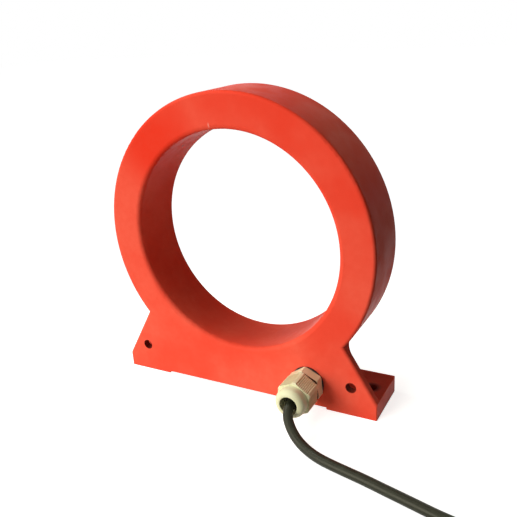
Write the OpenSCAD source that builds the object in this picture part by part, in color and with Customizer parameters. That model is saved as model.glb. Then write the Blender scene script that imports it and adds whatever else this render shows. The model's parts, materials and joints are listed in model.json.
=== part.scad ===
/* [Ring] */
// Diameter of the opening that the conductor passes through
bore_d = 140; // [130:1:150]
// Radial thickness of the cast ring
ring_wall = 22; // [20:0.5:26]
// Depth of the casting from front to back
depth = 37; // [35:0.5:42]
// Height of the ring's lowest point above the underside of the feet
ring_lift = 11; // [9:0.5:14]
// Rounding of the casting's outer front edges
edge_r = 2; // [1:0.25:3]
// Rounding of the opening's front edge
bore_edge_r = 3; // [1:0.25:4]
// Rounding of the ring's back edges
back_edge_r = 0.5; // [0.25:0.25:1.5]

/* [Base] */
// Overall width across the two feet
base_w = 186; // [180:1:194]
// Length of each foot beyond the middle block
foot_l = 33; // [30:0.5:36]
// Thickness of each foot
foot_t = 11; // [9:0.5:14]
// Rounding of the upright edges at the ends of the feet
foot_edge_r = 0.75; // [0.5:0.25:1.75]
// Thickness of the front web that stands on each foot
web_t = 5; // [4:0.25:7]
// Angle below the horizontal at which the web's edge meets the ring
neck_angle = 38.5; // [36:0.5:42]
// Fillet between the back of the web and the ring
neck_r = 7; // [4:0.5:9]
// Fillets in the inner corners of the pockets above the feet
pocket_r = 2; // [1:0.25:4]
// Depth of the relief under the middle block
relief_h = 1.4; // [0.8:0.1:3]

/* [Fixing holes] */
// Diameter of the hole through each front web
face_hole_d = 6.6; // [5:0.1:8]
// Distance of each web hole from the end of the base
face_hole_inset = 16.5; // [15:0.5:19]
// Height of the web holes above the underside
face_hole_h = 19.5; // [18:0.5:22]
// Diameter of the hole down through each foot
foot_hole_d = 6.6; // [5:0.1:8]
// Distance of each foot hole from the end of the base
foot_hole_inset = 9.5; // [8:0.5:12]

/* [Winding] */
// Radial width of the winding former
former_w = 9; // [7:0.5:11]
// Depth of the winding former from front to back
former_d = 23; // [18:0.5:25]
// Build-up of the winding on each side of the former
winding_t = 1.2; // [0.8:0.1:2]
// Part of the circle that the winding leaves open for its ends
winding_gap = 8; // [6:0.5:14]
// Room between the former and the winding
wrap_clear = 0.1; // [0.05:0.05:0.3]
// Room between the winding and the casting
pot_clear = 0.3; // [0.1:0.05:0.5]
// Diameter of the return conductor in the former's groove
return_d = 1.4; // [1:0.1:2]
// Diameter of the two wires that leave the winding
lead_d = 1.2; // [0.8:0.1:1.6]
// Distance between the two wires
lead_pitch = 3.6; // [2.8:0.1:4]
// Bend of each wire towards the gland
lead_bend_r = 3; // [2:0.25:4]
// Diameter of the duct that the wires come down
duct_d = 8; // [7:0.5:10]
// Diameter of the joint chamber behind the gland
chamber_d = 12; // [10:0.5:14]

/* [Gland] */
// Distance of the gland's axis from the side of the middle block
gland_inset = 12; // [11.5:0.5:16]
// Height of the gland's axis above the underside
gland_h = 17.25; // [15:0.25:20]
// Turn of the gland body's hexagon about the gland's axis
body_turn = 4; // [-30:1:30]
// Turn of the screwed-on cap about the gland's axis
cap_turn = -5; // [-30:1:30]
// Diameter of the gland's mounting thread
thread_d = 16; // [15:0.5:17]
// Length of the gland's mounting thread
thread_l = 8; // [7:0.5:9]
// Room round the mounting thread
thread_clear = 0.15; // [0.05:0.05:0.3]
// Diameter of the sealing washer
washer_d = 21.5; // [20.5:0.5:23]
// Thickness of the sealing washer
washer_t = 1.2; // [0.8:0.1:2]
// Width across the flats of the gland body
body_af = 20.25; // [19.5:0.25:21]
// Thickness of the gland body's hexagon
flange_t = 6.5; // [5:0.1:7]
// Open groove between the body's hexagon and the cap
cap_gap = 1.3; // [0.6:0.1:2]
// Width across the flats of the cap
cap_af = 21; // [20:0.25:22]
// Length of the cap
cap_l = 20; // [19:0.5:22]
// Length of the cap's hexagon, up to the shoulder behind its nose
grip_l = 12.7; // [11:0.1:14]
// Diameter of the cap's round nose
nose_d = 19.4; // [18.8:0.2:20]
// Diameter of the cap's mouth
mouth_d = 11.2; // [10.4:0.2:11.6]
// Number of grip grooves on each flat of the cap
grip_count = 8; // [5:1:8]
// Distance from one grip groove to the next
grip_pitch = 1.15; // [0.9:0.05:1.2]
// Depth of the grip grooves
grip_depth = 0.4; // [0.2:0.05:0.5]
// Diameter of the thread that carries the cap
collar_d = 14.4; // [14:0.1:15]
// Length of the thread that carries the cap
collar_l = 9; // [7:0.5:10]
// Number of clamping fingers
finger_count = 8; // [6:1:12]
// Length of the clamping fingers
finger_l = 7; // [5:0.5:8]
// Slit between two clamping fingers
finger_slit = 1; // [0.6:0.1:1.4]
// How far the fingers close in towards their tips
finger_taper = 0.9; // [0.5:0.1:1.2]
// Outer diameter of the seal round the cable
seal_d = 10.4; // [9.6:0.2:11]
// Length of the seal
seal_l = 12.5; // [10:0.5:14]
// How far the seal lies behind the mouth of the cap
seal_recess = 6.5; // [6:0.25:8]

/* [Cable] */
// Diameter of the cable
cable_d = 6; // [5.6:0.1:6.2]
// Diameter of the cable's two cores
core_d = 1.8; // [1.4:0.1:2]
// Diameter of the coil of spare cable at the middle of its turns
coil_d = 66; // [64:1:70]
// Thickness of the strap round the coil
tie_t = 1; // [0.6:0.1:1.6]
// Width of the strap round the coil
tie_w = 10; // [6:1:14]
// Length of cable past the last whole turn, in the inner place on top of the coil
end_l = 76; // [66:1:90]
// Length of each bared core at the far end
bare_l = 14; // [10:1:20]
// Length of each crimped end
ferrule_l = 12; // [8:1:14]

/* [Hidden] */
$fn = 96;

// Overlap of joined shapes and overshoot of cuts
lap = 1;

// Main places of the casting, with the underside at height 0 and the middle of its depth at y = 0
bore_r = bore_d / 2;
ring_r = bore_r + ring_wall;
mid_r = bore_r + ring_wall / 2;
axis_h = ring_lift + ring_r;
front_y = -depth / 2;
back_y = depth / 2;
web_back_y = front_y + web_t;
block_w = base_w - 2 * foot_l;

// The web's slope, from the end of the foot up to the ring and a little into it
foot_corner = [base_w / 2, foot_t];
neck = [ring_r * cos(neck_angle), axis_h - ring_r * sin(neck_angle)];
web_run = neck - foot_corner;
web_tilt = atan2(-web_run[0], web_run[1]);
web_end = neck + 3 * lap * web_run / norm(web_run);

// Winding space inside the ring
winding_w = former_w + 2 * (winding_t + wrap_clear);
winding_d = former_d + 2 * (winding_t + wrap_clear);
winding_r = mid_r + winding_w / 2;
cavity_r = winding_r + pot_clear;
former_r = mid_r + former_w / 2;
groove_r = former_r - return_d - wrap_clear;
return_r = groove_r + return_d / 2;

// Gland and the wires behind it
gland_x = block_w / 2 - gland_inset;
thread_end_y = front_y + thread_l;
jacket_clear = 0.5;
jacket_y = thread_end_y + jacket_clear;
joint_y = (jacket_y - lead_bend_r) / 2;
sleeve_l = 4;
sleeve_wall = 0.5;
sleeve_clear = 0.05;
chamber_end_y = chamber_d / 2;
duct_side_x = gland_x + duct_d / 2;
duct_top = axis_h - sqrt(cavity_r * cavity_r - duct_side_x * duct_side_x) + lap;
gap_start = -acos(gland_x / cavity_r);
return_gap = winding_gap / 2;

// Stations along the gland's axis, outwards from the front face
body_z = washer_t;
collar_z = body_z + flange_t;
finger_z = collar_z + collar_l;
tip_z = finger_z + finger_l;
cap_z = collar_z + cap_gap;
mouth_z = cap_z + cap_l;
seal_front_z = mouth_z - seal_recess;
seal_back_z = seal_front_z - seal_l;
cap_trim = 0.96;
cap_r = cap_af / 2 / cos(30) * cap_trim;
body_trim = 0.99;
body_r = body_af / 2 / cos(30) * body_trim;
cap_thread_clear = 0.15;
cap_inner_r = collar_d / 2 + cap_thread_clear;
body_chamfer = 0.4;
shoulder_l = 1.5;
shoulder_chamfer = 0.5;
lip_r = 0.5;
lip_middle_r = mouth_d / 2 + lip_r;
nose_round = nose_d / 2 - lip_middle_r;
cable_clear = 0.3;

// Spare cable: three turns wide and three high, lying on its strap
turns_wide = 3;
turns_high = 3;
coil_centre = [226, -45];
coil_r = coil_d / 2;
coil_w = turns_wide * cable_d;
coil_h = turns_high * cable_d;
end_r = coil_r - cable_d;
end_z = tie_t + coil_h - cable_d / 2;
end_start = 270;
end_sweep = arc_angle(end_l, end_r);
core_start = end_start + end_sweep;
core_side = 1.1;
core_drop = 1.6;
ferrule_d = 2.1;
pin_d = 1.3;
tie_angle = end_start + end_sweep / 2;

// Cable route: straight out of the gland, down to the floor and along it to the coil
cable_route = [
    [48, -10, 17.25],
    [48, -20, 17.25],
    [48, -30, 17.25],
    [48, -40, 17.25],
    [48, -44, 16.8],
    [48.4, -48, 15.4],
    [50, -52.2, 12.8],
    [53.4, -56, 9.6],
    [58, -59.5, 6.6],
    [63.5, -62.5, 4.4],
    [70, -65.5, 3.3],
    [78, -68.5, 3],
    [90, -71.5, 3],
    [104, -74.5, 3],
    [118, -78, 3],
    [132, -81.5, 3],
    [146, -85, 3],
    [160, -87.5, 3],
    [174, -88.5, 3],
    [188, -88, 3],
    [202, -86.4, 3.2],
    [216, -84.6, 3.8]
];
cable_sides = 12;

// Angle that an arc of a given length takes at a given radius
function arc_angle(length, radius) = length / radius * 180 / PI;

// Unit vector along a given one
function unit(v) = v / norm(v);

// Place of a corner given as [x, y, rounding]
function corner_place(corners, i) = [corners[i][0], corners[i][1]];

// Rounding of one corner of an outline: where it leaves the two sides, and its middle
function corner_arc(corners, i) =
    let (
        count = len(corners),
        place = corner_place(corners, i),
        before = unit(corner_place(corners, (i + count - 1) % count) - place),
        after = unit(corner_place(corners, (i + 1) % count) - place),
        half = acos(before * after) / 2,
        r = corners[i][2]
    )
    [place + r / tan(half) * before, place + r / tan(half) * after, place + r / sin(half) * unit(before + after)];

// Direction of a route at one of its points
function heading(path, i) =
    unit(path[min(i + 1, len(path) - 1)] - path[max(i - 1, 0)]);

// One ring of points round a route
function route_ring(path, i, radius, sides) =
    let (ahead = heading(path, i), side = unit(cross(ahead, [0, 0, 1])), over = cross(side, ahead))
    [for (k = [0 : sides - 1]) path[i] + radius * (cos(360 * k / sides) * side + sin(360 * k / sides) * over)];

// Outline of a hexagon whose flats carry fine grip grooves
function grip_flat(af, count, pitch, groove) = [
    [af / 2, -af / 2 * tan(30)],
    for (k = [0 : count - 1])
        each [[af / 2, (k - count / 2) * pitch], [af / 2 - groove, (k - count / 2 + 0.5) * pitch]],
    [af / 2, count / 2 * pitch]
];
function turned(p, angle) = [p[0] * cos(angle) - p[1] * sin(angle), p[0] * sin(angle) + p[1] * cos(angle)];
function grip_hexagon(af, count, pitch, groove) =
    [for (side = [0 : 5]) for (p = grip_flat(af, count, pitch, groove)) turned(p, 60 * side)];

// Shared shapes

// Rectangle about its middle with round corners
module rounded_rect(w, h, r) {
    square([w - 2 * r, h], center = true);
    square([w, h - 2 * r], center = true);
    for (x = [-1, 1], y = [-1, 1])
        translate([x * (w / 2 - r), y * (h / 2 - r)]) circle(r);
}

// Outline with a rounding of its own at each corner
module rounded_outline(corners) {
    arcs = [for (i = [0 : len(corners) - 1]) corner_arc(corners, i)];
    polygon([for (arc = arcs) each [arc[0], arc[1]]]);
    for (i = [0 : len(corners) - 1])
        translate(arcs[i][2]) circle(corners[i][2]);
}

// Concave quarter fillet in the corner at the origin
module inner_fillet(r) {
    difference() {
        translate([-lap, -lap]) square(r + lap);
        translate([r, r]) circle(r);
    }
}

// Section cut off an outer edge at the origin to round it
module edge_cut(r) {
    difference() {
        translate([-r, -lap]) square([r + lap, r + lap]);
        translate([-r, r]) circle(r);
    }
}

// Front-view outline made solid, from a back plane forwards
module slab(y, thickness) {
    translate([0, y, 0]) rotate([90, 0, 0]) linear_extrude(thickness) children();
}

// Section turned about the ring's axis
module about_ring(angle = 360, start = 0) {
    translate([0, 0, axis_h]) rotate([90, 0, 0]) rotate([0, 0, start]) rotate_extrude(angle = angle) children();
}

// Shape on the gland's axis, outwards from the front face
module at_gland() {
    translate([gland_x, front_y, gland_h]) rotate([90, 0, 0]) children();
}

// Section turned about the coil of spare cable
module about_coil(angle = 360, start = 0) {
    translate([coil_centre[0], coil_centre[1], 0]) rotate([0, 0, start]) rotate_extrude(angle = angle) children();
}

// The same shape on both sides of the middle
module both_sides() {
    children();
    mirror([1, 0, 0]) children();
}

// Casting

// Section of the ring, front upwards: rounded front edges and crisp back edges
module ring_section() {
    rounded_outline([
        [ring_r, depth / 2, edge_r],
        [bore_r, depth / 2, bore_edge_r],
        [bore_r, -depth / 2, back_edge_r],
        [ring_r, -depth / 2, back_edge_r]
    ]);
}

// Front view of one web with its foot
module web_outline() {
    difference() {
        polygon([
            [block_w / 2 - lap, 0],
            [base_w / 2, 0],
            foot_corner,
            web_end,
            [block_w / 2 - lap, web_end[1]]
        ]);
        translate([0, axis_h]) circle(mid_r);
    }
}

// Cuts that round the front edge of one web, up its end and along its slope; both run past the corner
module web_edge_cuts() {
    translate([base_w / 2, front_y, -lap]) linear_extrude(foot_t + foot_l) edge_cut(foot_edge_r);
    translate([foot_corner[0], front_y, foot_corner[1]])
        rotate([0, -web_tilt, 0])
            translate([0, 0, -foot_t]) linear_extrude(norm(web_run) + foot_t + 4 * lap) edge_cut(edge_r);
}

// One web with its rounded front edge
module web() {
    difference() {
        slab(web_back_y, web_t) web_outline();
        web_edge_cuts();
    }
}

// One foot behind the web, with its upright back edge rounded
module foot() {
    difference() {
        slab(back_y, depth - web_t + lap) translate([block_w / 2 - lap, 0]) square([foot_l + lap, foot_t]);
        translate([base_w / 2, back_y, -lap])
            linear_extrude(foot_t + 2 * lap) mirror([0, 1]) edge_cut(foot_edge_r);
    }
}

// Fillets between the back of one web and the ring, the foot and the block
module pocket_fillets() {
    intersection() {
        slab(web_back_y + neck_r, neck_r + lap) web_outline();
        union() {
            about_ring()
                translate([ring_r, -web_back_y]) mirror([0, 1]) inner_fillet(neck_r);
            translate([block_w / 2 - lap, web_back_y, foot_t])
                rotate([90, 0, 90]) linear_extrude(foot_l + lap) inner_fillet(pocket_r);
        }
    }
    slab(back_y, depth - web_t) translate([block_w / 2, foot_t]) inner_fillet(pocket_r);
    translate([block_w / 2, web_back_y, foot_t - lap])
        linear_extrude(axis_h - sqrt(mid_r * mid_r - block_w * block_w / 4) - foot_t) inner_fillet(pocket_r);
}

// Solid block between the ring and the underside
module middle_block() {
    slab(back_y, depth)
        difference() {
            translate([-block_w / 2, 0]) square([block_w, axis_h]);
            translate([0, axis_h]) circle(mid_r);
        }
}

// Room inside the casting for the winding, its wires and the gland
module inner_room() {
    about_ring() translate([mid_r, 0]) square([2 * (cavity_r - mid_r), winding_d + 2 * pot_clear], center = true);
    translate([gland_x, 0, gland_h]) cylinder(d = duct_d, h = duct_top - gland_h);
    translate([gland_x, chamber_end_y, gland_h])
        rotate([90, 0, 0]) cylinder(d = chamber_d, h = chamber_end_y - front_y);
    at_gland() translate([0, 0, -thread_l]) cylinder(d = thread_d + 2 * thread_clear, h = thread_l + lap);
}

// Holes through the webs and the feet
module fixing_holes() {
    both_sides() {
        translate([base_w / 2 - face_hole_inset, web_back_y + neck_r, face_hole_h])
            rotate([90, 0, 0]) cylinder(d = face_hole_d, h = web_t + neck_r + lap);
        translate([base_w / 2 - foot_hole_inset, 0, -lap]) cylinder(d = foot_hole_d, h = foot_t + 2 * lap);
    }
}

module coil_body() {
    color([0.90, 0.26, 0.19])
        difference() {
            union() {
                about_ring() ring_section();
                middle_block();
                both_sides() {
                    web();
                    foot();
                    pocket_fillets();
                }
            }
            translate([-block_w / 2, front_y - lap, -lap]) cube([block_w, depth + 2 * lap, relief_h + lap]);
            inner_room();
            fixing_holes();
        }
}

// Winding

// Former of rectangular section with a groove for the return conductor
module winding_former() {
    color([0.85, 0.82, 0.70])
        about_ring()
            difference() {
                translate([mid_r, 0]) square([former_w, former_d], center = true);
                translate([groove_r + former_w / 2, 0]) square([former_w, return_d + 2 * wrap_clear], center = true);
            }
}

// Single turn that runs back round the ring under the winding
module return_conductor() {
    color([0.72, 0.40, 0.20])
        about_ring(360 - return_gap, gap_start + 2 * return_gap)
            translate([return_r, 0]) circle(d = return_d);
}

// Even winding of fine wire all round the former, open where its ends come out
module toroid_winding() {
    color([0.65, 0.32, 0.14])
        about_ring(360 - winding_gap, gap_start + winding_gap)
            translate([mid_r, 0])
                difference() {
                    square([winding_w, winding_d], center = true);
                    square([former_w + 2 * wrap_clear, former_d + 2 * wrap_clear], center = true);
                }
}

// Wire down the duct and round the bend to its joint, cut to the radius it starts from
module lead_wire(x, start_r) {
    difference() {
        translate([x, 0, gland_h + lead_bend_r]) cylinder(d = lead_d, h = axis_h - mid_r);
        slab(back_y, depth) translate([0, axis_h]) circle(start_r);
    }
    translate([x, -lead_bend_r, gland_h + lead_bend_r])
        rotate([0, 90, 0]) rotate_extrude(angle = 90) translate([lead_bend_r, 0]) circle(d = lead_d);
    translate([x, -lead_bend_r, gland_h]) rotate([90, 0, 0]) cylinder(d = lead_d, h = -lead_bend_r - joint_y);
}

module winding_lead() {
    color([0.72, 0.40, 0.20]) lead_wire(gland_x - lead_pitch / 2, winding_r);
}

module return_lead() {
    color([0.72, 0.40, 0.20]) lead_wire(gland_x + lead_pitch / 2, return_r + return_d / 2);
}

// Insulating sleeves over the two joints
module solder_sleeves() {
    color([0.12, 0.12, 0.12])
        for (side = [-1, 1])
            translate([gland_x + side * lead_pitch / 2, joint_y + sleeve_l / 2, gland_h])
                rotate([90, 0, 0])
                    difference() {
                        cylinder(d = core_d + 2 * (sleeve_clear + sleeve_wall), h = sleeve_l);
                        translate([0, 0, -lap]) cylinder(d = core_d + 2 * sleeve_clear, h = sleeve_l + 2 * lap);
                    }
}

// Cable core from the end of the jacket to its joint
module inner_core(x) {
    translate([x, joint_y, gland_h]) rotate([90, 0, 0]) cylinder(d = core_d, h = joint_y - jacket_y);
}

module signal_core() {
    color([0.92, 0.92, 0.90]) inner_core(gland_x - lead_pitch / 2);
}

module return_core() {
    color([0.40, 0.22, 0.12]) inner_core(gland_x + lead_pitch / 2);
}

// Gland

module gland_washer() {
    color([0.10, 0.10, 0.10])
        at_gland()
            difference() {
                cylinder(d = washer_d, h = washer_t);
                translate([0, 0, -lap]) cylinder(d = thread_d + 2 * thread_clear, h = washer_t + 2 * lap);
            }
}

// Hexagon with its six corners turned round and its two faces chamfered
module turned_hexagon(af, r, thickness, chamfer) {
    intersection() {
        rotate([0, 0, body_turn + 30]) cylinder(d = af / cos(30), h = thickness, $fn = 6);
        union() {
            cylinder(r1 = r - chamfer, r2 = r, h = chamfer);
            translate([0, 0, chamfer]) cylinder(r = r, h = thickness - 2 * chamfer);
            translate([0, 0, thickness - chamfer]) cylinder(r1 = r, r2 = r - chamfer, h = chamfer);
        }
    }
}

// Ring of clamping fingers, closing in towards their tips
module clamping_fingers() {
    difference() {
        translate([0, 0, finger_z])
            cylinder(r1 = collar_d / 2, r2 = collar_d / 2 - finger_taper, h = finger_l);
        for (k = [0 : finger_count - 1])
            rotate([0, 0, 360 * k / finger_count])
                translate([0, -finger_slit / 2, finger_z]) cube([collar_d, finger_slit, finger_l + lap]);
    }
}

module gland_body() {
    color([0.88, 0.86, 0.80])
        at_gland()
            difference() {
                union() {
                    translate([0, 0, -thread_l]) cylinder(d = thread_d, h = thread_l + body_z);
                    translate([0, 0, body_z]) turned_hexagon(body_af, body_r, flange_t, body_chamfer);
                    translate([0, 0, collar_z]) cylinder(d = collar_d, h = collar_l);
                    clamping_fingers();
                }
                translate([0, 0, -thread_l - lap])
                    cylinder(d = cable_d + 2 * cable_clear, h = thread_l + tip_z + 2 * lap);
                translate([0, 0, seal_back_z]) cylinder(d = seal_d, h = tip_z - seal_back_z + lap);
            }
}

// Soft sleeve that the fingers press on to the cable, with a round front rim
module gland_seal() {
    color([0.08, 0.08, 0.08])
        at_gland()
            translate([0, 0, seal_back_z])
                rotate_extrude()
                    translate([cable_d / 2, 0]) {
                        square([(seal_d - cable_d) / 2, seal_l - (seal_d - cable_d) / 4]);
                        translate([(seal_d - cable_d) / 4, seal_l - (seal_d - cable_d) / 4])
                            circle(d = (seal_d - cable_d) / 2);
                    }
}

// Outer half-section of the cap: skirt for the hexagon, shoulder, domed nose and a rounded lip round the mouth
module cap_profile() {
    polygon([
        [0, 0],
        [cap_r, 0],
        [cap_r, grip_l - shoulder_chamfer],
        [cap_r - shoulder_chamfer, grip_l],
        [nose_d / 2, grip_l],
        [nose_d / 2, cap_l - nose_round],
        [lip_middle_r, cap_l - nose_round],
        [lip_middle_r, cap_l - lip_r],
        [0, cap_l - lip_r]
    ]);
    intersection() {
        translate([lip_middle_r, cap_l - nose_round]) circle(nose_round);
        translate([lip_middle_r, 0]) square([nose_round + lap, cap_l + lap]);
    }
    translate([lip_middle_r, cap_l - lip_r]) circle(lip_r);
}

// Inner half-section of the cap: thread, cone over the fingers, shoulder and mouth
module cap_hollow() {
    cone_z = finger_z - cap_z;
    shoulder_z = tip_z - cap_z;
    polygon([
        [0, -lap],
        [cap_inner_r, -lap],
        [cap_inner_r, cone_z],
        [cap_inner_r - finger_taper, shoulder_z],
        [mouth_d / 2, shoulder_z + shoulder_l],
        [mouth_d / 2, cap_l + lap],
        [0, cap_l + lap]
    ]);
}

module gland_cap() {
    color([0.90, 0.88, 0.82])
        at_gland()
            translate([0, 0, cap_z])
                difference() {
                    intersection() {
                        rotate([0, 0, cap_turn])
                            linear_extrude(cap_l + lap)
                                polygon(grip_hexagon(cap_af, grip_count, grip_pitch, grip_depth));
                        rotate_extrude() cap_profile();
                    }
                    rotate_extrude() cap_hollow();
                }
}

// Cable

// Tube of many sides along a route
module swept_tube(path, radius, sides) {
    rings = len(path);
    points = [for (i = [0 : rings - 1]) each route_ring(path, i, radius, sides)];
    near_cap = [[for (k = [0 : sides - 1]) k]];
    far_cap = [[for (k = [sides - 1 : -1 : 0]) (rings - 1) * sides + k]];
    walls = [
        for (i = [0 : rings - 2], k = [0 : sides - 1])
            let (a = i * sides + k, b = i * sides + (k + 1) % sides)
            each [[a, a + sides, b], [b, a + sides, b + sides]]
    ];
    polyhedron(points, concat(near_cap, walls, far_cap), convexity = 6);
}

// Section of the whole coil, as wide and as high as its turns
module coil_section() {
    translate([coil_r, tie_t + coil_h / 2]) rounded_rect(coil_w, coil_h, cable_d / 2);
}

module cable_lead() {
    color([0.16, 0.16, 0.14])
        difference() {
            swept_tube(cable_route, cable_d / 2, cable_sides);
            about_coil() coil_section();
        }
}

// Spare turns, with the innermost place of the top layer left for the cable's end
module cable_coil() {
    color([0.16, 0.16, 0.14])
        about_coil() {
            translate([coil_r, tie_t + coil_h / 2 - cable_d / 2])
                rounded_rect(coil_w, coil_h - cable_d, cable_d / 2);
            translate([coil_r + cable_d / 2, tie_t + coil_h / 2])
                rounded_rect(coil_w - cable_d, coil_h, cable_d / 2);
        }
}

module cable_end() {
    color([0.16, 0.16, 0.14])
        about_coil(end_sweep, end_start) translate([end_r, end_z]) circle(d = cable_d);
}

// Strap closed round one side of the coil, clear of the curve of its inner turns
module coil_tie() {
    coil_in_r = coil_r - coil_w / 2;
    strap_in = sqrt(coil_in_r * coil_in_r - tie_w * tie_w / 4);
    strap_w = coil_r + coil_w / 2 - strap_in;
    color([0.10, 0.10, 0.11])
        translate([coil_centre[0], coil_centre[1], tie_t + coil_h / 2])
            rotate([0, 0, tie_angle])
                translate([strap_in + strap_w / 2, tie_w / 2, 0])
                    rotate([90, 0, 0])
                        linear_extrude(tie_w)
                            difference() {
                                rounded_rect(strap_w + 2 * tie_t, coil_h + 2 * tie_t, cable_d / 2 + tie_t);
                                rounded_rect(strap_w, coil_h, cable_d / 2);
                            }
}

// Bared core at the far end, on one side of the cable's middle
module end_core(side) {
    radius = end_r + side * core_side;
    sweep = arc_angle(bare_l, radius);
    about_coil(sweep, core_start) translate([radius, end_z - core_drop]) circle(d = core_d);
}

// Crimped sleeve and pin on the end of a core
module end_ferrule(side) {
    radius = end_r + side * core_side;
    start = core_start + arc_angle(bare_l, radius);
    sleeve = arc_angle(ferrule_l / 2, radius);
    pin = arc_angle(ferrule_l, radius);
    about_coil(sleeve, start) translate([radius, end_z - core_drop]) circle(d = ferrule_d);
    about_coil(pin, start) translate([radius, end_z - core_drop]) circle(d = pin_d);
}

module signal_end() {
    color([0.92, 0.92, 0.90]) end_core(-1);
}

module return_end() {
    color([0.40, 0.22, 0.12]) end_core(1);
}

module end_ferrules() {
    color([0.75, 0.75, 0.76]) {
        end_ferrule(-1);
        end_ferrule(1);
    }
}

coil_body();
winding_former();
return_conductor();
toroid_winding();
winding_lead();
return_lead();
solder_sleeves();
signal_core();
return_core();
gland_washer();
gland_body();
gland_seal();
gland_cap();
cable_lead();
cable_coil();
cable_end();
coil_tie();
signal_end();
return_end();
end_ferrules();
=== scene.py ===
"""Looks of a rigid Rogowski coil: a red cast ring on two feet, its cable gland and its lead."""
import json
from math import cos, radians, sin, tau

import bpy
import numpy as np
from mathutils import Matrix, Vector


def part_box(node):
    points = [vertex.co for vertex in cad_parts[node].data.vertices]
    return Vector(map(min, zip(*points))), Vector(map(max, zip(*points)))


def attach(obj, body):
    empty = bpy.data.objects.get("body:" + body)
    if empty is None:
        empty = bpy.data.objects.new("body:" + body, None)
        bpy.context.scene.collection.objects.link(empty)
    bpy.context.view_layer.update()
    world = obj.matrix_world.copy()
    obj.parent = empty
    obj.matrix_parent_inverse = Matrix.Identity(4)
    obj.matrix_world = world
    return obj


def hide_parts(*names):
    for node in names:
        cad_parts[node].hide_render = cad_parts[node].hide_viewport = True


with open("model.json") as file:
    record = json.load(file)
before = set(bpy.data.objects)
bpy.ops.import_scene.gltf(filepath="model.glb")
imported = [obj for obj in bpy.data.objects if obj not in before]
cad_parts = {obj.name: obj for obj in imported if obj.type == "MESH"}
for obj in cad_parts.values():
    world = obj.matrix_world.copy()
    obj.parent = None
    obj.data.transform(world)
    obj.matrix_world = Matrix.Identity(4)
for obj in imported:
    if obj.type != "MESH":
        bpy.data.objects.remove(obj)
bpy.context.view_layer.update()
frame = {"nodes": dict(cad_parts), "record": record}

# Camera at the photograph's angle

FRAME_PX = 517
FOCAL_PX = 635.6
PRINCIPAL_PX = (268.5, 268.5)
SENSOR_MM = 36
CLIP_START = 0.01
VIEW_AZIMUTH = radians(28.58)
VIEW_ELEVATION = radians(21.36)
VIEW_ROLL = radians(-3.47)
VIEW_TARGET = Vector((0.02476, -0.0185, 0.09081))
VIEW_DISTANCE = 0.3826


def photo_camera():
    """Camera that looks at the target. Azimuth and elevation give the axis from the target back to the
    camera, which is rolled about that axis."""
    back = Vector((sin(VIEW_AZIMUTH) * cos(VIEW_ELEVATION),
                   -cos(VIEW_AZIMUTH) * cos(VIEW_ELEVATION),
                   sin(VIEW_ELEVATION)))
    level_right = Vector((cos(VIEW_AZIMUTH), sin(VIEW_AZIMUTH), 0))
    right = cos(VIEW_ROLL) * level_right + sin(VIEW_ROLL) * back.cross(level_right)
    up = back.cross(right)
    lens = bpy.data.cameras.new("photo_camera")
    lens.sensor_width = SENSOR_MM
    lens.lens = FOCAL_PX / FRAME_PX * SENSOR_MM
    lens.shift_x = (FRAME_PX / 2 - PRINCIPAL_PX[0]) / FRAME_PX
    lens.shift_y = (PRINCIPAL_PX[1] - FRAME_PX / 2) / FRAME_PX
    lens.clip_start = CLIP_START
    camera = bpy.data.objects.new("photo_camera", lens)
    bpy.context.scene.collection.objects.link(camera)
    turn = Matrix((right, up, back)).transposed().to_4x4()
    camera.matrix_world = Matrix.Translation(VIEW_TARGET + VIEW_DISTANCE * back) @ turn
    bpy.context.scene.camera = camera


photo_camera()

# Surfaces on grids


def smooth_step(x):
    """Rise from 0 to 1 as x goes from 0 to 1, level at both ends: three x squared less two x cubed."""
    x = np.clip(x, 0, 1)
    return x * x * (3 - 2 * x)


def unit_rows(vectors):
    """Each row divided by its own length."""
    return vectors / np.linalg.norm(vectors, axis=-1, keepdims=True)


def run_length(points):
    """Length walked along the points, up to each of them."""
    return np.append(0, np.cumsum(np.linalg.norm(np.diff(points, axis=0), axis=1)))


def grid_piece(name, points, uv):
    """Closed skin over a grid of points: rows follow one another along the piece, the last point of a row
    joins the first, and a fan to the middle of the first and of the last row closes each end. uv holds one
    pair per grid point and per closing column, so that a pattern runs on across the seam."""
    rows, columns = points.shape[:2]
    index = np.arange(rows * columns).reshape(rows, columns)
    index = np.hstack([index, index[:, :1]])
    quad_corners = [index[:-1, :-1], index[:-1, 1:], index[1:, 1:], index[1:, :-1]]
    quads = np.stack(quad_corners, axis=-1).reshape(-1, 4)
    quad_uv = np.stack([uv[:-1, :-1], uv[:-1, 1:], uv[1:, 1:], uv[1:, :-1]], axis=2).reshape(-1, 2)
    first_middle = rows * columns
    last_middle = first_middle + 1
    start_fan = np.stack([index[0, 1:], index[0, :-1], np.full(columns, first_middle)], axis=-1)
    end_fan = np.stack([index[-1, :-1], index[-1, 1:], np.full(columns, last_middle)], axis=-1)
    start_uv = np.stack([uv[0, 1:], uv[0, :-1], uv[0, :-1]], axis=1).reshape(-1, 2)
    end_uv = np.stack([uv[-1, :-1], uv[-1, 1:], uv[-1, :-1]], axis=1).reshape(-1, 2)
    vertices = np.vstack([points.reshape(-1, 3), points[0].mean(0), points[-1].mean(0)])
    mesh = bpy.data.meshes.new(name)
    mesh.from_pydata(vertices.tolist(), [], quads.tolist() + start_fan.tolist() + end_fan.tolist())
    layer = mesh.uv_layers.new(name="UVMap")
    layer.data.foreach_set("uv", np.vstack([quad_uv, start_uv, end_uv]).astype(np.float32).ravel())
    mesh.polygons.foreach_set("use_smooth", np.ones(len(mesh.polygons), dtype=bool))
    mesh.update()
    piece = bpy.data.objects.new(name, mesh)
    bpy.context.scene.collection.objects.link(piece)
    return piece


# Cable

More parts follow.
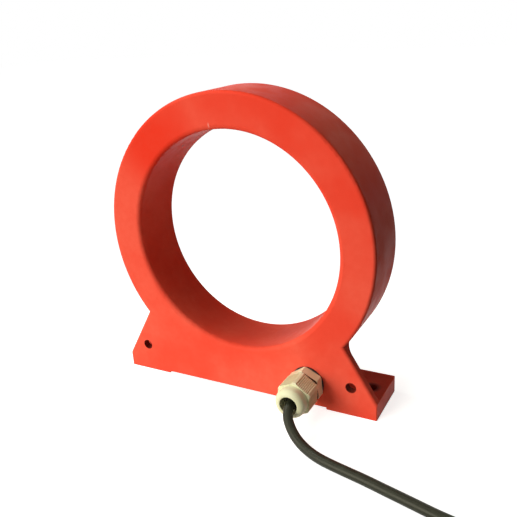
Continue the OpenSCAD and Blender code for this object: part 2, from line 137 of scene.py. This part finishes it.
CABLE_D = 0.006
CABLE_STEP = 0.0015
CABLE_SIDES = 24
JACKET_RIM = 0.0003
CABLE_ROUTE = [
    (0.048, -0.010, 0.01725),
    (0.048, -0.020, 0.01725),
    (0.048, -0.030, 0.01725),
    (0.048, -0.040, 0.01725),
    (0.048, -0.044, 0.0168),
    (0.0484, -0.048, 0.0154),
    (0.050, -0.0522, 0.0128),
    (0.0534, -0.056, 0.0096),
    (0.058, -0.0595, 0.0066),
    (0.0635, -0.0625, 0.0044),
    (0.070, -0.0655, 0.0033),
    (0.078, -0.0685, 0.003),
    (0.090, -0.0715, 0.003),
    (0.104, -0.0745, 0.003),
    (0.118, -0.078, 0.003),
    (0.132, -0.0815, 0.003),
    (0.146, -0.085, 0.003),
    (0.160, -0.0875, 0.003),
    (0.174, -0.0885, 0.003),
    (0.188, -0.088, 0.003),
    (0.202, -0.0864, 0.0032),
    (0.216, -0.0846, 0.0038),
]

COIL_LOW, COIL_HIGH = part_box("cable_coil")
COIL_MIDDLE = (COIL_LOW + COIL_HIGH) / 2
COIL_COLUMNS = 3
COIL_LAYERS = 3
COIL_HALF_W = COIL_COLUMNS * CABLE_D / 2
COIL_R = (COIL_HIGH.x - COIL_LOW.x) / 2 - COIL_HALF_W
COIL_ENTRY = radians(270)
COIL_END_LENGTH = 0.076
TURN_POINTS = 24
STEP_BEGINS = radians(65)
STEP_ENDS = radians(3)
LEAN_MARGIN = radians(24)
LEAN = 0.45 * CABLE_D


def turn_places():
    """Column and layer of each turn: across each layer in turn, and back across the next."""
    columns = list(range(COIL_COLUMNS // 2, -COIL_COLUMNS // 2, -1))
    return np.array([(column, layer) for layer in range(COIL_LAYERS)
                     for column in (columns if layer % 2 == 0 else columns[::-1])], float)


def coil_turns():
    """Centreline of the coil. The angle grows at an even rate. Late in each turn the radius and height go
    over to the next place by a smooth step. A turn that climbs to the next layer also leans away from its
    neighbours, by a squared cosine of the angle from the middle of the climb."""
    places = turn_places()
    whole = len(places) - 1
    travel_end = tau * whole + COIL_END_LENGTH / (COIL_R - CABLE_D)
    travel = np.linspace(0, travel_end, round(travel_end / tau * TURN_POINTS) + 1)
    turn = np.minimum((travel // tau).astype(int), whole)
    following = np.minimum(turn + 1, whole)
    share = smooth_step((travel - tau * (turn + 1) + STEP_BEGINS) / (STEP_BEGINS - STEP_ENDS))
    place = places[turn] + (places[following] - places[turn]) * share[:, None]
    radius = COIL_R + CABLE_D * place[:, 0]
    for climb in range(COIL_COLUMNS - 1, whole - 1, COIL_COLUMNS):
        middle = tau * (climb + 1) - (STEP_BEGINS + STEP_ENDS) / 2
        half = (STEP_BEGINS - STEP_ENDS) / 2 + LEAN_MARGIN
        reach = np.clip((travel - middle) / half, -1, 1)
        radius += np.sign(places[climb, 0]) * LEAN * np.cos(reach * tau / 4) ** 2
    angle = COIL_ENTRY + travel
    x = COIL_MIDDLE.x + radius * np.cos(angle)
    y = COIL_MIDDLE.y + radius * np.sin(angle)
    z = COIL_LOW.z + CABLE_D * (place[:, 1] + 0.5)
    return np.stack([x, y, z], axis=1)


def smooth_curve(points, step, rim):
    """Curve through the points: between two of them a cubic, whose slope at each point is that of the
    parabola through it and its neighbours. The parameter is the length along the straight lines between the
    points. It goes on by even steps, and the last place but one lies a rim before the end."""
    run = np.linalg.norm(np.diff(points, axis=0), axis=1)
    chord = np.diff(points, axis=0) / run[:, None]
    slope = np.vstack([chord[:1], np.zeros_like(points[2:]), chord[-1:]])
    slope[1:-1] = (chord[:-1] * run[1:, None] + chord[1:] * run[:-1, None]) / (run[:-1] + run[1:])[:, None]
    station = run_length(points)
    end = station[-1]
    at = np.append(np.arange(0, end - rim, step), [end - rim, end])
    k = np.clip(np.searchsorted(station, at, side="right") - 1, 0, len(run) - 1)
    h = run[k][:, None]
    t = ((at - station[k]) / run[k])[:, None]
    return ((1 + 2 * t) * (1 - t) ** 2 * points[k] + t * (1 - t) ** 2 * h * slope[k]
            + t * t * (3 - 2 * t) * points[k + 1] + t * t * (t - 1) * h * slope[k + 1])


def cable_line():
    """Centreline of the whole cable, never lower than it lies on the floor."""
    line = smooth_curve(np.vstack([CABLE_ROUTE, coil_turns()]), CABLE_STEP, JACKET_RIM)
    line[:, 2] = np.maximum(line[:, 2], CABLE_D / 2)
    return line


def round_tube(name, line, radii, sides):
    """Circle carried along a line: its plane is square to the line, and one axis of it stays level."""
    ahead = unit_rows(np.gradient(line, axis=0))
    level = unit_rows(np.cross(ahead, (0, 0, 1)))
    over = np.cross(level, ahead)
    angle = np.linspace(0, tau, sides, endpoint=False)
    ring = np.cos(angle)[None, :, None] * level[:, None] + np.sin(angle)[None, :, None] * over[:, None]
    points = line[:, None] + radii[:, None, None] * ring
    uv = np.stack(np.meshgrid(np.linspace(0, 1, sides + 1), run_length(line)), axis=-1)
    return grid_piece(name, points[:, ::-1], uv[:, ::-1])


CABLE_LINE = cable_line()
jacket_radii = np.full(len(CABLE_LINE), CABLE_D / 2)
jacket_radii[-1] -= JACKET_RIM
cable = round_tube("cable", CABLE_LINE, jacket_radii, CABLE_SIDES)
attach(cable, "root")
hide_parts("cable_lead", "cable_coil", "cable_end")

# Strap round the coil. The coil lies on it, so the coil's lowest point gives the strap's thickness

STRAP_T = COIL_LOW.z
STRAP_W = 0.010
STRAP_OVERLAP = 0.016
STRAP_RAMP = 0.005
STRAP_CORNER = CABLE_D / 2 + STRAP_T / 2
STRAP_ROWS = 220
STRAP_COLUMNS = 28
STRAP_SQUARENESS = 6
CORNER_POINTS = 12


def strap_loop():
    """Middle line of the strap in the plane across the coil's turns: a rectangle with round corners, walked
    from the middle of its top, outwards and down, once round and on over its own start, which lifts it by
    its thickness. Returns for each step its place, as distance from the coil's axis and height, its outward
    direction and the length walked."""
    strap_low, strap_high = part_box("coil_tie")
    inner_r = np.sqrt((COIL_R - COIL_HALF_W) ** 2 - (STRAP_W / 2) ** 2)
    near = inner_r - STRAP_T / 2
    far = COIL_R + COIL_HALF_W + STRAP_T / 2
    bottom = strap_low.z + STRAP_T / 2
    top = strap_high.z - STRAP_T / 2
    corners = [(far - STRAP_CORNER, top - STRAP_CORNER, tau / 4),
               (far - STRAP_CORNER, bottom + STRAP_CORNER, 0),
               (near + STRAP_CORNER, bottom + STRAP_CORNER, -tau / 4),
               (near + STRAP_CORNER, top - STRAP_CORNER, -tau / 2)]
    fan = np.linspace(0, tau / 4, CORNER_POINTS)
    arcs = [np.stack([x + STRAP_CORNER * np.cos(start - fan),
                      z + STRAP_CORNER * np.sin(start - fan)], axis=1)
            for x, z, start in corners]
    top_middle = [((near + far) / 2, top)]
    outline = np.vstack([top_middle, *arcs, top_middle])
    length = run_length(outline)
    once_round = length[-1]
    walk = np.linspace(0, once_round + STRAP_OVERLAP, STRAP_ROWS)
    at = np.stack([np.interp(walk % once_round, length, outline[:, i]) for i in range(2)], axis=1)
    ahead = unit_rows(np.gradient(at, axis=0))
    outward = np.stack([-ahead[:, 1], ahead[:, 0]], axis=1)
    lift = STRAP_T * smooth_step((walk - once_round + STRAP_RAMP) / STRAP_RAMP)
    return at + lift[:, None] * outward, outward, walk


def strap_angle():
    """Angle about the coil's axis at which the strap's solid lies."""
    low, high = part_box("coil_tie")
    middle = (low + high) / 2 - COIL_MIDDLE
    return np.arctan2(middle.y, middle.x)


def squared_off(wave):
    """A sine or cosine raised to a small power with its sign kept, so that it dwells near its ends."""
    return np.sign(wave) * np.abs(wave) ** (2 / STRAP_SQUARENESS)


def coil_strap():
    """Flat band: a squared-off oval, thin along the outward direction and wide across it, carried along the
    loop."""
    at, outward, walk = strap_loop()
    angle = strap_angle()
    across = np.array([-np.sin(angle), np.cos(angle), 0])
    radial = np.array([np.cos(angle), np.sin(angle), 0])
    upward = np.array([0, 0, 1.0])
    centre = np.array([COIL_MIDDLE.x, COIL_MIDDLE.y, 0])
    line = centre + at[:, :1] * radial + at[:, 1:] * upward
    out = outward[:, :1] * radial + outward[:, 1:] * upward
    turn = np.linspace(0, tau, STRAP_COLUMNS, endpoint=False)
    wide = squared_off(np.cos(turn)) * STRAP_W / 2
    thick = squared_off(np.sin(turn)) * STRAP_T / 2
    points = line[:, None] + wide[None, :, None] * across + thick[None, :, None] * out[:, None]
    side = np.append(wide, wide[0])
    uv = np.stack(np.meshgrid(side, walk), axis=-1)
    return grid_piece("coil_strap", points, uv)


strap = coil_strap()
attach(strap, "root")
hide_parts("coil_tie")

# Node trees for finishes, floor and room


def rgb(red, green, blue):
    """A colour, solid."""
    return (red, green, blue, 1)


BLACK = rgb(0, 0, 0)
WHITE = rgb(1, 1, 1)


class Shading:
    """A node tree, with short calls that add and link its nodes."""

    def __init__(self, tree):
        self.tree = tree

    def feed(self, socket, value):
        """Links a socket to another, or sets its value."""
        if isinstance(value, bpy.types.NodeSocket):
            self.tree.links.new(value, socket)
        else:
            socket.default_value = value

    def node(self, kind, sockets, **settings):
        """A node of a kind, with its settings and its sockets, which are given by name or number."""
        made = self.tree.nodes.new("ShaderNode" + kind)
        for name, value in settings.items():
            setattr(made, name, value)
        for key, value in sockets.items():
            self.feed(made.inputs[key], value)
        return made

    def place(self):
        """Place on the object, in metres."""
        return self.node("TexCoord", {}).outputs["Object"]

    def surface(self):
        """Place on the piece's own unrolled surface."""
        return self.node("UVMap", {}, uv_map="UVMap").outputs[0]

    def moved(self, where, location=(0, 0, 0), scale=(1, 1, 1)):
        """A place scaled, then moved."""
        return self.node("Mapping", {"Vector": where, "Location": location, "Scale": scale}).outputs[0]

    def parts(self, where):
        """The three numbers of a place."""
        return self.node("SeparateXYZ", {0: where}).outputs

    def noise(self, where, grain, detail, roughness=0.5):
        """Cloudy noise whose grain is about so many metres wide."""
        sockets = {"Vector": where, "Scale": 1 / grain, "Detail": detail, "Roughness": roughness}
        return self.node("TexNoise", sockets).outputs[0]

    def math(self, operation, first, second=0.0, third=0.0):
        """One sum on up to three numbers."""
        return self.node("Math", {0: first, 1: second, 2: third}, operation=operation).outputs[0]

    def span(self, value, low, high, to_low=0.0, to_high=1.0):
        """A number carried smoothly from one range to another, and held at its ends."""
        sockets = {0: value, 1: low, 2: high, 3: to_low, 4: to_high}
        return self.node("MapRange", sockets, interpolation_type="SMOOTHSTEP").outputs[0]

    def graded(self, share, low, high):
        """A number that goes smoothly from low to high with a share."""
        return self.span(share, 0, 1, low, high)

    def patches(self, where, levels, to=(0.0, 1.0), **noise):
        """Patches of noise: one number below its lower level, another above its upper level."""
        return self.span(self.noise(where, **noise), *levels, *to)

    def within(self, value, rim):
        """1 below the first of two numbers, 0 above the second, and a smooth fall between them."""
        return self.span(value, *rim, 1, 0)

    def mix(self, share, first, second, strength=None):
        """Two colours mixed by a share, at less than full strength where one is given. The Mix node has its
        colours in sockets 6 and 7 and gives the mixed one in its third output."""
        if strength:
            share = self.math("MULTIPLY", share, strength)
        return self.node("Mix", {0: share, 6: first, 7: second}, data_type="RGBA").outputs[2]

    def distance(self, where, point, squash=None):
        """Distance from a point, after both are squashed where that is given."""
        if squash:
            where = self.moved(where, scale=squash)
            point = Vector(point) * Vector(squash)
        return self.node("VectorMath", {0: where, 1: point}, operation="DISTANCE").outputs["Value"]

    def seen(self, lit):
        """White to rays of sight, straight, mirrored or through glass, and one colour to rays that light
        the object."""
        path = self.node("LightPath", {}).outputs
        sight = self.math("ADD", path["Is Camera Ray"], path["Is Glossy Ray"])
        sight = self.math("ADD", sight, path["Is Transmission Ray"])
        return self.mix(sight, lit, WHITE)


class Finish(Shading):
    """A node material round one Principled shader."""

    def __init__(self, name, **plain):
        self.material = bpy.data.materials.new(name)
        self.material.use_nodes = True
        super().__init__(self.material.node_tree)
        self.shader = self.tree.nodes["Principled BSDF"]
        self.set(**plain)

    def set(self, **sockets):
        """Feeds the shader's own sockets, named in words joined by underscores."""
        for words, value in sockets.items():
            self.feed(self.shader.inputs[words.replace("_", " ")], value)

    def relief(self, height, depth):
        """Fine relief so many metres deep, where height goes from 0 to 1."""
        sockets = {"Strength": 1.0, "Distance": depth, "Height": height}
        self.set(Normal=self.node("Bump", sockets).outputs[0])


# Resin of the casting

MM = 0.001
MOUNTS = {mount["name"]: mount for mount in frame["record"]["mounts"]}


def right_hole(name):
    """Middle of the right one of a pair of fixing holes."""
    mount = MOUNTS[name]
    _, y, z = mount["pos_m"]
    return (mount["dims"]["spacing_x_mm"] * MM / 2, y, z)


FRONT_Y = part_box("coil_body")[0].y
RING_AXIS_H = MOUNTS["conductor_bore"]["pos_m"][2]
FACE_HOLE = right_hole("face_holes")
FOOT_HOLE = right_hole("foot_holes")
HOLE_R = MOUNTS["foot_holes"]["dims"]["hole_r_mm"] * MM
WALL_EDGE = 0.0004
# Painted shade of the fixing holes: on their walls, and spreading round those of the feet
HOLE_SHADE_SPREAD = 0.0035
FACE_HOLE_SHADE = (HOLE_R, HOLE_R + WALL_EDGE)
FOOT_HOLE_SHADE = (HOLE_R, HOLE_R + HOLE_SHADE_SPREAD)
JUST_OVER_FEET = 0.0112
FLAT_ALONG_Y = (1, 0, 1)
FLAT_ALONG_Z = (1, 1, 0)
NICK = (-0.0091, FRONT_Y, 0.1752)
NICK_SQUASH = (1, 0.3, 0.3)
NICK_RIM = (0.0002, 0.0007)
PINHOLE = (-0.0428, 0.0016, 0.1584)
PINHOLE_RIM = (0.0005, 0.0009)
PINHOLE_GRAINS_DEEP = 6.0
DEEP_PATCH = (-0.052, FRONT_Y, 0.164)
DEEP_REACH = (0.008, 0.042)
# The red grows paler towards the bottom and the left
LOW_LEFT_RAMP = (-0.04, 0.36)
LOW_LEFT_LEAN = (0.4, 1, 1)
DEEP_RED = rgb(0.84, 0.040, 0.016)
PALE_RED = rgb(0.90, 0.122, 0.070)
MOTTLE_RED = rgb(0.82, 0.060, 0.030)
HOLE_SHADE_RED = rgb(0.10, 0.010, 0.006)
SCRATCHED_RED = rgb(0.90, 0.35, 0.28)
PINHOLE_RED = rgb(0.12, 0.012, 0.008)
RESIN_SHINE = rgb(1, 0.92, 0.74)


def paler_red_share(resin, place):
    """Share of the paler red: broad clouds, more towards the bottom and the left, and less round one deep
    patch at the upper left."""
    across, _, height = resin.parts(resin.moved(place, scale=LOW_LEFT_LEAN))
    paler_low_left = resin.within(resin.math("ADD", across, height), LOW_LEFT_RAMP)
    clouds = resin.patches(place, levels=(0.35, 0.65), grain=0.045, detail=3)
    share = resin.math("MULTIPLY", resin.math("ADD", clouds, paler_low_left), 0.5)
    return resin.math("MULTIPLY", share, resin.span(resin.distance(place, DEEP_PATCH), *DEEP_REACH))


def hole_painted_shade(resin, place):
    """Painted shade: 1 on the walls of the fixing holes, and fading out round those of the feet. Both holes
    of a pair are found at once, by the place without its sign. Squashed flat along a hole's axis, the
    distance from its middle is that from the axis."""
    twinned = resin.node("VectorMath", {0: place}, operation="ABSOLUTE").outputs[0]
    face_holes = resin.within(resin.distance(twinned, FACE_HOLE, FLAT_ALONG_Y), FACE_HOLE_SHADE)
    foot_holes = resin.within(resin.distance(twinned, FOOT_HOLE, FLAT_ALONG_Z), FOOT_HOLE_SHADE)
    _, _, height = resin.parts(place)
    foot_holes = resin.math("MULTIPLY", foot_holes, resin.math("LESS_THAN", height, JUST_OVER_FEET))
    return resin.math("MAXIMUM", face_holes, foot_holes)


def cast_resin():
    """Red casting resin: paler in broad clouds and towards the bottom and the left, fine mottling, a nearly
    matt skin with soft mould grain, painted shade in the fixing holes and round those of the feet, one pale
    scratch on the front edge of the opening and one pinhole in the bore."""
    resin = Finish("cast_resin", IOR=1.5, Specular_IOR_Level=0.025, Specular_Tint=RESIN_SHINE)
    place = resin.place()
    mottle = resin.patches(place, levels=(0.3, 0.7), grain=0.0035, detail=4, roughness=0.6)
    nick = resin.within(resin.distance(place, NICK, NICK_SQUASH), NICK_RIM)
    pinhole = resin.within(resin.distance(place, PINHOLE), PINHOLE_RIM)
    red = resin.mix(paler_red_share(resin, place), DEEP_RED, PALE_RED)
    red = resin.mix(mottle, red, MOTTLE_RED, strength=0.25)
    # Painted shade in the fixing holes and round those of the feet
    red = resin.mix(hole_painted_shade(resin, place), red, HOLE_SHADE_RED, strength=0.85)
    red = resin.mix(nick, red, SCRATCHED_RED, strength=0.6)
    red = resin.mix(pinhole, red, PINHOLE_RED)
    wear = resin.patches(place, levels=(0.35, 0.7), to=(0.36, 0.50), grain=0.012, detail=5, roughness=0.6)
    skin = resin.noise(place, grain=0.0009, detail=3, roughness=0.55)
    pit = resin.math("MULTIPLY", pinhole, PINHOLE_GRAINS_DEEP)
    grain = resin.math("SUBTRACT", resin.math("ADD", skin, mottle), pit)
    resin.set(Base_Color=red, Roughness=wear)
    resin.relief(grain, depth=0.00003)
    return resin.material


# Finishes of the gland

GROOVE_Y = -0.0261
GROOVE_SHADE_SIDE = (0.046, 0.050)
DEEP_CREAM = rgb(0.71, 0.695, 0.43)
PALE_CREAM = rgb(0.785, 0.78, 0.515)
GRIMY_CREAM = rgb(0.47, 0.45, 0.30)
# Painted shade in the groove behind the gland's cap
GROOVE_PAINTED_SHADE = rgb(0.06, 0.040, 0.018)
RUBBER_BLACK = rgb(0.012, 0.012, 0.012)
RUBBER_DUST = rgb(0.035, 0.034, 0.031)


def gland_plastic(name, groove=False):
    """Pale moulded polyamide: warm cream, a little uneven, with a fine satin skin. Where it has the groove
    behind the cap, painted shade darkens the right side of that."""
    plastic = Finish(name, IOR=1.53, Specular_IOR_Level=0.2)
    place = plastic.place()
    cloud = plastic.patches(place, levels=(0.35, 0.65), grain=0.009, detail=3)
    grime = plastic.patches(place, levels=(0.55, 0.8), grain=0.0022, detail=4, roughness=0.65)
    colour = plastic.mix(cloud, DEEP_CREAM, PALE_CREAM)
    colour = plastic.mix(grime, colour, GRIMY_CREAM, strength=0.3)
    if groove:
        # Painted shade in the groove in front of the flange, on its right side only
        across, along, _ = plastic.parts(place)
        in_front = plastic.math("LESS_THAN", along, GROOVE_Y)
        groove_shade = plastic.math("MULTIPLY", in_front, plastic.span(across, *GROOVE_SHADE_SIDE))
        colour = plastic.mix(groove_shade, colour, GROOVE_PAINTED_SHADE)
    plastic.set(Base_Color=colour, Roughness=plastic.graded(cloud, 0.38, 0.48))
    plastic.relief(plastic.noise(place, grain=0.0005, detail=3), depth=0.00002)
    return plastic.material


def soft_rubber():
    """Black sealing rubber: matt, with a bloom of grey dust."""
    rubber = Finish("soft_rubber", IOR=1.5, Specular_IOR_Level=0.3)
    place = rubber.place()
    bloom = rubber.patches(place, levels=(0.4, 0.75), grain=0.003, detail=4, roughness=0.6)
    colour = rubber.mix(bloom, RUBBER_BLACK, RUBBER_DUST)
    rubber.set(Base_Color=colour, Roughness=rubber.graded(bloom, 0.45, 0.65))
    rubber.relief(rubber.noise(place, grain=0.0004, detail=3), depth=0.00002)
    return rubber.material


# Finishes of the cable, its strap and its ends

DRAWN_STRETCH = (0.05, 0.12, 1)
JACKET_DARK = rgb(0.011, 0.012, 0.007)
JACKET_OLIVE = rgb(0.020, 0.022, 0.013)
JACKET_DUST = rgb(0.036, 0.040, 0.024)
JACKET_SHINE = rgb(1, 0.95, 0.78)
THREAD = 0.0006
THREAD_LOW_SHADE = rgb(0.010, 0.010, 0.011)
THREAD_CREST_LIGHT = rgb(0.030, 0.030, 0.032)
FLUFF_GREY = rgb(0.11, 0.11, 0.11)
CRIMP = 0.0012
CRIMP_WAVE = tau / 2 * (COIL_R - CABLE_D) / CRIMP
SCRATCH_SHARE = 0.2
TIN_DULL = rgb(0.62, 0.62, 0.63)
TIN_BRIGHT = rgb(0.80, 0.80, 0.81)


def cable_jacket():
    """Olive-black cable jacket: faint drawn lines along it, rubbed grey patches and a soft shine."""
    jacket = Finish("cable_jacket", IOR=1.5, Specular_IOR_Level=0.2, Specular_Tint=JACKET_SHINE)
    stretched = jacket.moved(jacket.surface(), scale=DRAWN_STRETCH)
    drawn = jacket.noise(stretched, grain=0.0012, detail=3, roughness=0.6)
    dust = jacket.patches(jacket.place(), levels=(0.42, 0.75), grain=0.006, detail=4, roughness=0.65)
    colour = jacket.mix(drawn, JACKET_DARK, JACKET_OLIVE)
    colour = jacket.mix(dust, colour, JACKET_DUST, strength=0.5)
    jacket.set(Base_Color=colour, Roughness=jacket.graded(dust, 0.38, 0.56))
    jacket.relief(drawn, depth=0.00004)
    return jacket.material


def strap_fabric():
    """Black woven strap: threads over and under in a plain weave, with painted shade between the threads
    and a painted highlight on their crests, dull, with grey fluff.
    """
    fabric = Finish("strap_fabric", Specular_IOR_Level=0.2, Sheen_Weight=0.4, Sheen_Roughness=0.5)
    across, along, _ = fabric.parts(fabric.surface())
    waves = [fabric.math("SINE", fabric.math("MULTIPLY", part, tau / 2 / THREAD))
             for part in (across, along)]
    weave = fabric.math("MULTIPLY_ADD", fabric.math("MULTIPLY", *waves), 0.5, 0.5)
    fluff = fabric.patches(fabric.place(), levels=(0.5, 0.8), grain=0.0025, detail=5, roughness=0.7)
    # Painted shade low in the weave, painted highlight on the thread crests
    colour = fabric.mix(weave, THREAD_LOW_SHADE, THREAD_CREST_LIGHT)
    colour = fabric.mix(fluff, colour, FLUFF_GREY, strength=0.3)
    fabric.set(Base_Color=colour, Roughness=fabric.graded(weave, 0.75, 0.9))
    fabric.relief(weave, depth=0.0002)
    return fabric.material


def tinned_ferrule():
    """Tinned copper sleeves: bright grey metal with crimp marks along them and fine scratches."""
    tin = Finish("tinned_ferrule", Metallic=1.0)
    place = tin.place()
    x, y, _ = tin.parts(tin.moved(place, location=(-COIL_MIDDLE.x, -COIL_MIDDLE.y, 0)))
    along = tin.math("MULTIPLY", tin.math("ARCTAN2", y, x), CRIMP_WAVE)
    crimp = tin.math("ABSOLUTE", tin.math("SINE", along))
    scratch = tin.noise(place, grain=0.0006, detail=4, roughness=0.7)
    colour = tin.mix(scratch, TIN_DULL, TIN_BRIGHT)
    tin.set(Base_Color=colour, Roughness=tin.span(scratch, 0.3, 0.7, to_low=0.22, to_high=0.4))
    tin.relief(tin.math("ADD", crimp, tin.math("MULTIPLY", scratch, SCRATCH_SHARE)), depth=0.00008)
    return tin.material


# Finishes inside the casting

WIRE_TURNS = 900
COPPER_BRIGHT = rgb(0.70, 0.30, 0.14)
COPPER_TARNISH = rgb(0.50, 0.19, 0.08)
COPPER_GAP_SHADE = rgb(0.20, 0.06, 0.02)
GAP_SHADE_RISE = (0, 0.5)
WIRE_DEPTH = 0.00003
WINDING_DEPTH = 0.0003
FORMER_STRAW = (rgb(0.62, 0.56, 0.40), rgb(0.70, 0.65, 0.50))
FORMER_GRAIN = 0.008
SLEEVE_BLACK = (rgb(0.012, 0.012, 0.013), rgb(0.03, 0.03, 0.03))
CORE_WHITE = (rgb(0.72, 0.72, 0.69), rgb(0.80, 0.80, 0.78))
CORE_BROWN = (rgb(0.12, 0.050, 0.022), rgb(0.17, 0.07, 0.03))
CORE_GRAIN = 0.004


def copper_wire(name, turns=0):
    """Enamelled copper: warm metal with darker enamel. Where it is wound round the ring, crests in relief
    and painted shade in the gaps between them follow the angle about the ring's axis, one for each turn."""
    wire = Finish(name, Metallic=1.0)
    place = wire.place()
    tarnish = wire.patches(place, levels=(0.35, 0.7), grain=0.004, detail=4, roughness=0.6)
    colour = wire.mix(tarnish, COPPER_BRIGHT, COPPER_TARNISH)
    crest = wire.noise(place, grain=0.0008, detail=2)
    if turns:
        x, _, z = wire.parts(wire.moved(place, location=(0, 0, -RING_AXIS_H)))
        angle = wire.math("ARCTAN2", z, x)
        crest = wire.math("ABSOLUTE", wire.math("SINE", wire.math("MULTIPLY", angle, turns / 2)))
        # Painted shade in the gaps between the turns
        colour = wire.mix(wire.within(crest, GAP_SHADE_RISE), colour, COPPER_GAP_SHADE)
    wire.set(Base_Color=colour, Roughness=wire.graded(tarnish, 0.28, 0.42))
    wire.relief(crest, depth=WINDING_DEPTH if turns else WIRE_DEPTH)
    return wire.material


def moulded_insulation(name, colours, grain=CORE_GRAIN):
    """Plain insulation: uneven between two colours, with a drawn skin whose grain is an eighth as wide."""
    cover = Finish(name, IOR=1.5, Specular_IOR_Level=0.4)
    place = cover.place()
    cloud = cover.patches(place, levels=(0.35, 0.7), grain=grain, detail=4, roughness=0.6)
    cover.set(Base_Color=cover.mix(cloud, *colours), Roughness=cover.graded(cloud, 0.4, 0.55))
    cover.relief(cover.noise(place, grain=grain / 8, detail=3), depth=0.00002)
    return cover.material


# Each piece with its finish


def dress(pieces, material):
    """Gives CAD nodes, by name, or new pieces their finish."""
    for piece in pieces:
        mesh = (frame["nodes"][piece] if isinstance(piece, str) else piece).data
        mesh.materials.clear()
        mesh.materials.append(material)


dress(["coil_body"], cast_resin())
dress(["gland_cap"], gland_plastic("cap_plastic"))
dress(["gland_body"], gland_plastic("body_plastic", groove=True))
dress(["gland_washer", "gland_seal"], soft_rubber())
dress([cable, "cable_lead", "cable_coil", "cable_end"], cable_jacket())
dress([strap, "coil_tie"], strap_fabric())
dress(["toroid_winding"], copper_wire("wound_copper", WIRE_TURNS))
dress(["return_conductor", "winding_lead", "return_lead"], copper_wire("copper_wire"))
dress(["winding_former"], moulded_insulation("former_plastic", FORMER_STRAW, FORMER_GRAIN))
dress(["solder_sleeves"], moulded_insulation("sleeve_plastic", SLEEVE_BLACK))
dress(["signal_core", "signal_end"], moulded_insulation("core_white", CORE_WHITE))
dress(["return_core", "return_end"], moulded_insulation("core_brown", CORE_BROWN))
dress(["end_ferrules"], tinned_ferrule())

# Floor, light and background

FLOOR_HALF = 4.0
FLOOR_DROP = 0.0001
SHEET_WHITE = 0.80
TABLE_GREY = 0.15
SHEET_REACH = (0.12, 0.24)
NEAR_WHITE = 0.78
ROOM_LIGHT = rgb(0.030, 0.029, 0.028)
LIGHT_TARGET = Vector((0, 0, 0.09))


def pale_floor():
    """Flat floor, a little below the feet: white paper round the object on a grey table. Rays of sight find
    it white, and a little less so near the object, where the light that falls on the paper makes up the
    rest and the shadow shows."""
    corners = [(x * FLOOR_HALF, y * FLOOR_HALF, -FLOOR_DROP)
               for x, y in ((-1, -1), (1, -1), (1, 1), (-1, 1))]
    mesh = bpy.data.meshes.new("floor")
    mesh.from_pydata(corners, [], [(0, 1, 2, 3)])
    floor = bpy.data.objects.new("floor", mesh)
    bpy.context.scene.collection.objects.link(floor)
    paper = Finish("floor_paper", Roughness=0.9, Specular_IOR_Level=0.0)
    away = paper.distance(paper.place(), (0, 0, 0))
    paper.set(Base_Color=paper.span(away, *SHEET_REACH, SHEET_WHITE, TABLE_GREY))
    white = paper.span(away, *SHEET_REACH, NEAR_WHITE, 1)
    glow = paper.node("Emission", {"Color": paper.seen(BLACK), "Strength": white}).outputs[0]
    both = paper.node("AddShader", {0: paper.shader.outputs[0], 1: glow}).outputs[0]
    paper.tree.links.new(both, paper.tree.nodes["Material Output"].inputs[0])
    mesh.materials.append(paper.material)


def white_room():
    """World: white to sight, also where it is mirrored, and a low even light on the object."""
    world = bpy.data.worlds.new("room")
    bpy.context.scene.world = world
    world.use_nodes = True
    world.node_tree.nodes.clear()
    room = Shading(world.node_tree)
    shade = room.node("Background", {"Color": room.seen(ROOM_LIGHT)}).outputs[0]
    room.node("OutputWorld", {"Surface": shade})


def soft_lamp(name, direction, distance, size, power, colour):
    """Square lamp that looks at the object from a direction."""
    lamp = bpy.data.lights.new(name, "AREA")
    lamp.size = size
    lamp.energy = power
    lamp.color = colour
    holder = bpy.data.objects.new(name, lamp)
    bpy.context.scene.collection.objects.link(holder)
    holder.location = LIGHT_TARGET + distance * Vector(direction).normalized()
    holder.rotation_euler = (LIGHT_TARGET - holder.location).to_track_quat("-Z", "Y").to_euler()


pale_floor()
white_room()
soft_lamp("key_lamp", (-0.47, -0.80, 0.30), distance=1.7, size=1.2, power=33.0, colour=(1, 0.97, 0.92))
soft_lamp("back_lamp", (0.25, 0.85, 0.45), distance=1.4, size=1.0, power=1.7, colour=(1, 0.80, 0.45))
soft_lamp("top_lamp", (-0.03, -0.05, 1), distance=1.2, size=0.3, power=2.3, colour=(1, 0.93, 0.82))
soft_lamp("left_lamp", (-0.70, -0.04, 0.70), distance=1.2, size=0.3, power=5.6, colour=(0.93, 1, 0.95))

bpy.context.scene.view_settings.view_transform = "Standard"
